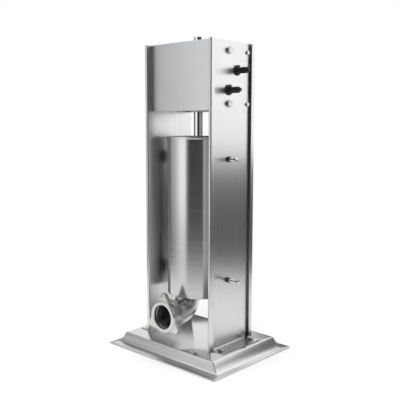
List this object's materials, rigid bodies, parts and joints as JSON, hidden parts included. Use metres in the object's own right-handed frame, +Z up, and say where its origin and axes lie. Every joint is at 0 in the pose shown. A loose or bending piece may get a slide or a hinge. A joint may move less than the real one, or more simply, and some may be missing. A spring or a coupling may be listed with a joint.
{
  "type": "sausage stuffer",
  "caption": "Upright hand-cranked sausage stuffer: a geared rack pushes a piston down a steel cylinder held in a folded frame, with an outlet elbow and ring nut at its foot.",
  "frame": {"origin": "centre of the base, on the surface it stands on", "axes": "+Z up along the rack; -Y towards the front, where the outlet is; +X towards the side of the crank shafts"},
  "size_m": [0.3204, 0.2594, 0.6855],
  "materials": {
    "polished_steel": "polished",
    "brushed_steel": "brushed",
    "satin_steel": "satin",
    "cast_steel": "blasted casting",
    "gear_steel": "machined, oiled",
    "black_steel": "black oxide",
    "bronze": "machined",
    "chrome": "polished",
    "white_nylon": "matte",
    "black_rubber": "matte",
    "silicone": "satin"
  },
  "bodies": {
    "frame": {"base_pan": "polished_steel", "bolt_left_lower_front": "polished_steel", "bolt_left_lower_rear": "polished_steel", "bolt_left_upper_front": "polished_steel", "bolt_left_upper_rear": "polished_steel", "bolt_right_lower_front": "polished_steel", "bolt_right_lower_rear": "polished_steel", "bolt_right_upper_front": "polished_steel", "bolt_right_upper_rear": "polished_steel", "clamp_nut_left_lower": "black_steel", "clamp_nut_left_upper": "black_steel", "clamp_nut_right_lower": "black_steel", "clamp_nut_right_upper": "black_steel", "fast_bush_left": "bronze", "fast_bush_right": "black_steel", "foot_bolt_front_left": "polished_steel", "foot_bolt_front_right": "polished_steel", "foot_bolt_rear_left": "polished_steel", "foot_bolt_rear_right": "polished_steel", "front_cover": "satin_steel", "gearbox_inner_plate": "gear_steel", "gearbox_plate_left": "gear_steel", "gearbox_plate_right": "gear_steel", "guide_bush_lower": "white_nylon", "guide_bush_upper": "white_nylon", "guide_plate_lower": "gear_steel", "guide_plate_upper": "gear_steel", "rear_cover": "satin_steel", "side_panel_left": "brushed_steel", "side_panel_right": "brushed_steel", "slow_bush_inner": "bronze", "slow_bush_right": "black_steel", "top_cover": "satin_steel"},
    "piston": {"rack_bar": "chrome", "piston_body": "white_nylon", "piston_seal": "silicone", "piston_plate": "polished_steel", "piston_nut": "polished_steel"},
    "air_valve": {"air_valve": "polished_steel"},
    "fast_shaft": {"fast_shaft": "black_steel", "rack_pinion": "gear_steel", "large_gear": "gear_steel", "fast_circlip": "black_steel"},
    "slow_shaft": {"slow_shaft": "black_steel", "small_gear": "gear_steel", "slow_circlip": "black_steel"},
    "cylinder": {"meat_cylinder": "brushed_steel", "outlet_elbow": "satin_steel", "outlet_ferrule": "cast_steel"},
    "outlet_seal": {"outlet_seal": "black_rubber"},
    "ring_nut": {"wing_nut": "cast_steel"},
    "pad_left_upper": {"clamp_pad_left_upper": "black_rubber"},
    "screw_left_upper": {"clamp_screw_left_upper": "polished_steel"},
    "pad_left_lower": {"clamp_pad_left_lower": "black_rubber"},
    "screw_left_lower": {"clamp_screw_left_lower": "polished_steel"},
    "pad_right_upper": {"clamp_pad_right_upper": "black_rubber"},
    "screw_right_upper": {"clamp_screw_right_upper": "polished_steel"},
    "pad_right_lower": {"clamp_pad_right_lower": "black_rubber"},
    "screw_right_lower": {"clamp_screw_right_lower": "polished_steel"}
  },
  "joints": [
    {"name": "rack_slide", "type": "slide", "parent": "frame", "child": "piston", "axis": [0, 0, 1], "range_m": [-0.015, 0.337]},
    {"name": "fast_shaft_turn", "type": "hinge", "parent": "frame", "child": "fast_shaft", "pos_m": [0, 0.0175, 0.6108], "axis": [1, 0, 0], "range_deg": [-1760, 80]},
    {"name": "slow_shaft_turn", "type": "hinge", "parent": "frame", "child": "slow_shaft", "pos_m": [0, -0.0089, 0.56952], "axis": [1, 0, 0], "range_deg": [-220, 4865]},
    {"name": "air_valve_lift", "type": "slide", "parent": "piston", "child": "air_valve", "axis": [0, 0, 1], "range_m": [0, 0.0025], "stiffness_N_per_m": 200, "springref_m": -0.005},
    {"name": "cylinder_tilt", "type": "hinge", "parent": "frame", "child": "cylinder", "pos_m": [0, -0.008, 0.17], "axis": [-1, 0, 0], "range_deg": [0, 4.4]},
    {"name": "outlet_seal_slide", "type": "slide", "parent": "cylinder", "child": "outlet_seal", "axis": [0, -1, 0], "range_m": [0, 0.00605]},
    {"name": "ring_nut_turn", "type": "hinge", "parent": "outlet_seal", "child": "ring_nut", "pos_m": [0, -0.108, 0.093], "axis": [0, -1, 0], "range_deg": [0, 540]},
    {"name": "pad_left_upper_slide", "type": "slide", "parent": "frame", "child": "pad_left_upper", "axis": [-1, 0, 0], "range_m": [0, 0.008]},
    {"name": "screw_left_upper_turn", "type": "hinge", "parent": "pad_left_upper", "child": "screw_left_upper", "pos_m": [-0.1, -0.008, 0.4274], "axis": [-1, 0, 0], "range_deg": [0, 2881]},
    {"name": "pad_left_lower_slide", "type": "slide", "parent": "frame", "child": "pad_left_lower", "axis": [-1, 0, 0], "range_m": [0, 0.008]},
    {"name": "screw_left_lower_turn", "type": "hinge", "parent": "pad_left_lower", "child": "screw_left_lower", "pos_m": [-0.1, -0.008, 0.17], "axis": [-1, 0, 0], "range_deg": [0, 2881]},
    {"name": "pad_right_upper_slide", "type": "slide", "parent": "frame", "child": "pad_right_upper", "axis": [1, 0, 0], "range_m": [0, 0.008]},
    {"name": "screw_right_upper_turn", "type": "hinge", "parent": "pad_right_upper", "child": "screw_right_upper", "pos_m": [0.1, -0.008, 0.4274], "axis": [1, 0, 0], "range_deg": [0, 2881]},
    {"name": "pad_right_lower_slide", "type": "slide", "parent": "frame", "child": "pad_right_lower", "axis": [1, 0, 0], "range_m": [0, 0.008]},
    {"name": "screw_right_lower_turn", "type": "hinge", "parent": "pad_right_lower", "child": "screw_right_lower", "pos_m": [0.1, -0.008, 0.17], "axis": [1, 0, 0], "range_deg": [0, 2881]}
  ],
  "couplings": [
    {"joint": "fast_shaft_turn", "follows": "rack_slide", "rad_per_m": -90.909},
    {"joint": "slow_shaft_turn", "follows": "rack_slide", "rad_per_m": 251.75},
    {"joint": "outlet_seal_slide", "follows": "ring_nut_turn", "m_per_rad": 0.00063662},
    {"joint": "screw_left_upper_turn", "follows": "pad_left_upper_slide", "rad_per_m": 6283.2},
    {"joint": "screw_left_lower_turn", "follows": "pad_left_lower_slide", "rad_per_m": 6283.2},
    {"joint": "screw_right_upper_turn", "follows": "pad_right_upper_slide", "rad_per_m": 6283.2},
    {"joint": "screw_right_lower_turn", "follows": "pad_right_lower_slide", "rad_per_m": 6283.2}
  ]
}
